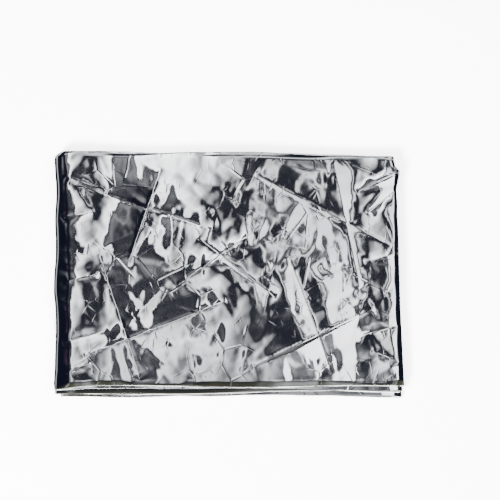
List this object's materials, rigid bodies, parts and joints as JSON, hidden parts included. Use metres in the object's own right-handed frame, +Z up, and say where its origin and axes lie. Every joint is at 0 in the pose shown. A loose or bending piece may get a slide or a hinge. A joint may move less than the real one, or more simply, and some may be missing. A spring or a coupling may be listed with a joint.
{
  "type": "folded foil infant wrap",
  "caption": "Thin flexible sheet of bright silver film for wrapping an infant, folded lengthwise into plies and then back and forth into a flat oblong pack.",
  "frame": {"origin": "centre of the pack's plan box, on the surface that it rests on", "axes": "+X along the pack from one folded side to the other, +Y from its front edge to its back edge, +Z up through the layers"},
  "size_m": [0.1552, 0.1098, 0.0077],
  "materials": {
    "film": "bright mirror-like metallised film with fine crinkles"
  },
  "bodies": {
    "root": {"foil_wrap": "film"}
  },
  "joints": []
}
